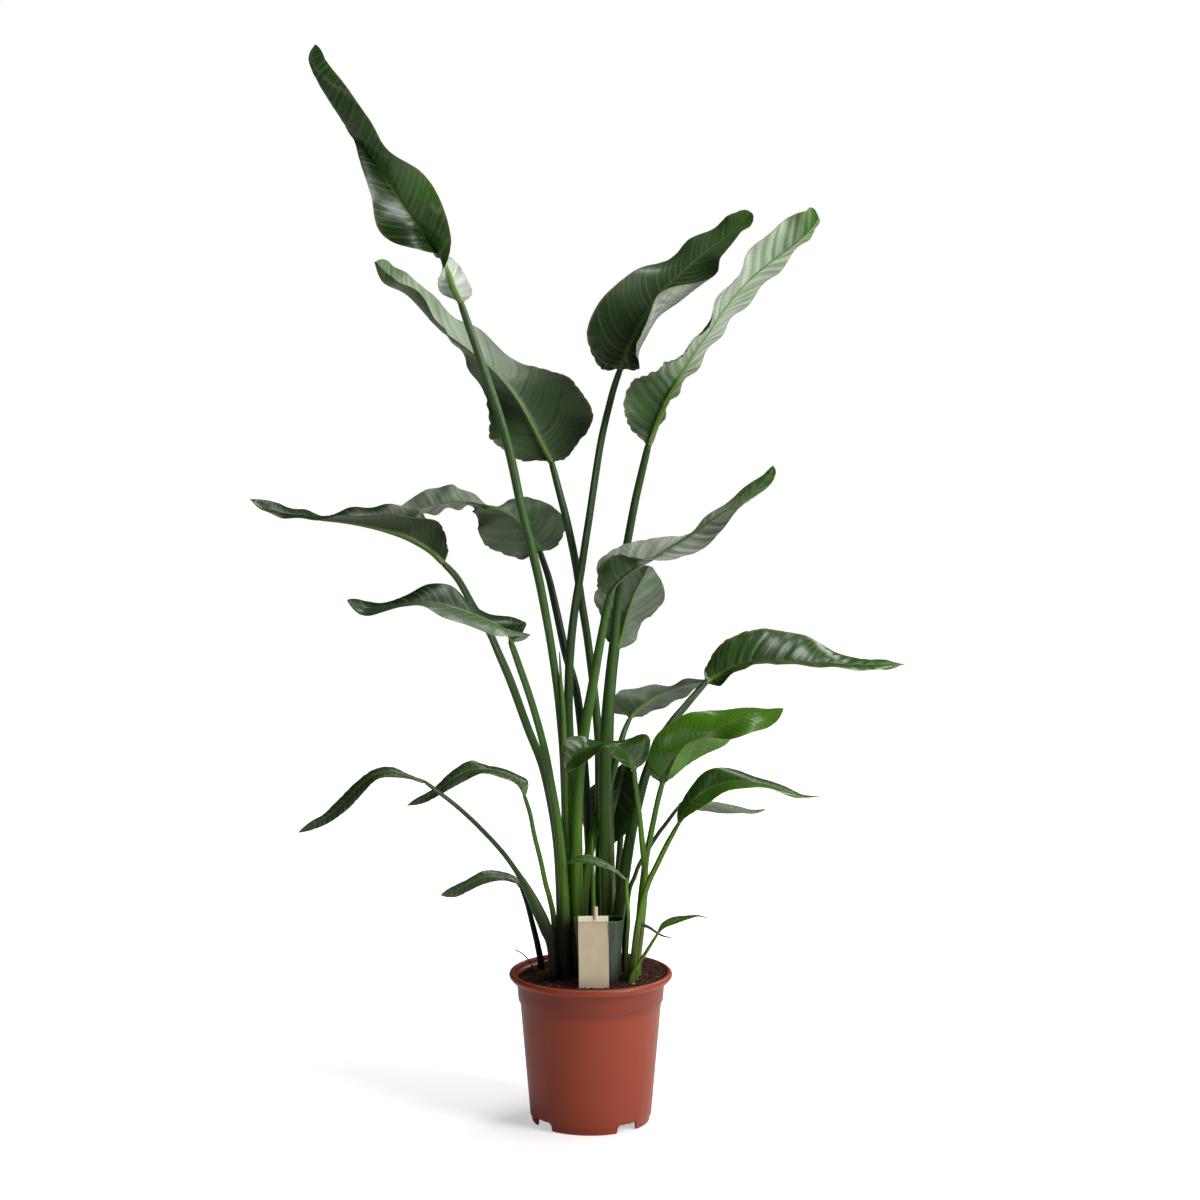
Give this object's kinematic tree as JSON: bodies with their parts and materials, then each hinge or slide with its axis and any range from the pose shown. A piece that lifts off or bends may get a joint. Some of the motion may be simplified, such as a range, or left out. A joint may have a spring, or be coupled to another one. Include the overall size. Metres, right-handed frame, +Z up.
{
  "type": "potted giant white bird of paradise",
  "caption": "Tall fan of paddle-shaped leaves on long clasping stalks, standing in soil in a tapered terracotta-coloured nursery pot with a card label.",
  "frame": {"origin": "on the floor, under the middle of the pot and of the whole plant", "axes": "+Z up, -Y the front that the picture shows, +X to the right in that view"},
  "size_m": [0.9412, 0.3045, 1.5478],
  "materials": {
    "pot_plastic": "terracotta-coloured moulded plastic, satin",
    "soil": "loose dark peat soil with fibres",
    "leaf_stalk": "smooth waxy green leaf stalk",
    "leaf_blade": "glossy dark green leaf with fine side veins",
    "dry_leaf": "dry brown plant fibre",
    "label_card": "uncoated kraft card",
    "peg_wood": "plain pale wood"
  },
  "bodies": {
    "root": {"pot": "pot_plastic", "soil": "soil", "stalk_left_1": "leaf_stalk", "stalk_left_2": "leaf_stalk", "stalk_left_3": "leaf_stalk", "stalk_left_4": "leaf_stalk", "stalk_left_5": "leaf_stalk", "stalk_left_6": "leaf_stalk", "stalk_left_7": "leaf_stalk", "stalk_right_1": "leaf_stalk", "stalk_right_2": "leaf_stalk", "stalk_right_3": "leaf_stalk", "stalk_right_5": "leaf_stalk", "stalk_right_6": "leaf_stalk", "stalk_right_7": "leaf_stalk", "stalk_right_8": "leaf_stalk", "stalk_right_9": "leaf_stalk", "stalk_right_dark": "leaf_stalk", "stalk_front_small": "leaf_stalk", "stalk_right_small": "leaf_stalk", "stalk_left_low_1": "leaf_stalk", "stalk_left_low_2": "leaf_stalk", "stalk_left_low_3": "leaf_stalk", "young_leaf": "leaf_stalk", "young_shoot": "leaf_stalk", "blade_left_1": "leaf_blade", "blade_left_2": "leaf_blade", "blade_left_3": "leaf_blade", "blade_left_4": "leaf_blade", "blade_left_5": "leaf_blade", "blade_left_6": "leaf_blade", "blade_left_7": "leaf_blade", "blade_right_1": "leaf_blade", "blade_right_2": "leaf_blade", "blade_right_3": "leaf_blade", "blade_right_5": "leaf_blade", "blade_right_6": "leaf_blade", "blade_right_7": "leaf_blade", "blade_right_8": "leaf_blade", "blade_right_9": "leaf_blade", "blade_right_dark": "leaf_blade", "blade_front_small": "leaf_blade", "blade_right_small": "leaf_blade", "blade_left_low_1": "leaf_blade", "blade_left_low_2": "leaf_blade", "blade_left_low_3": "leaf_blade", "old_sheath": "leaf_stalk", "dry_sliver": "dry_leaf", "dry_root": "dry_leaf", "label": "label_card", "peg": "peg_wood"}
  },
  "joints": []
}
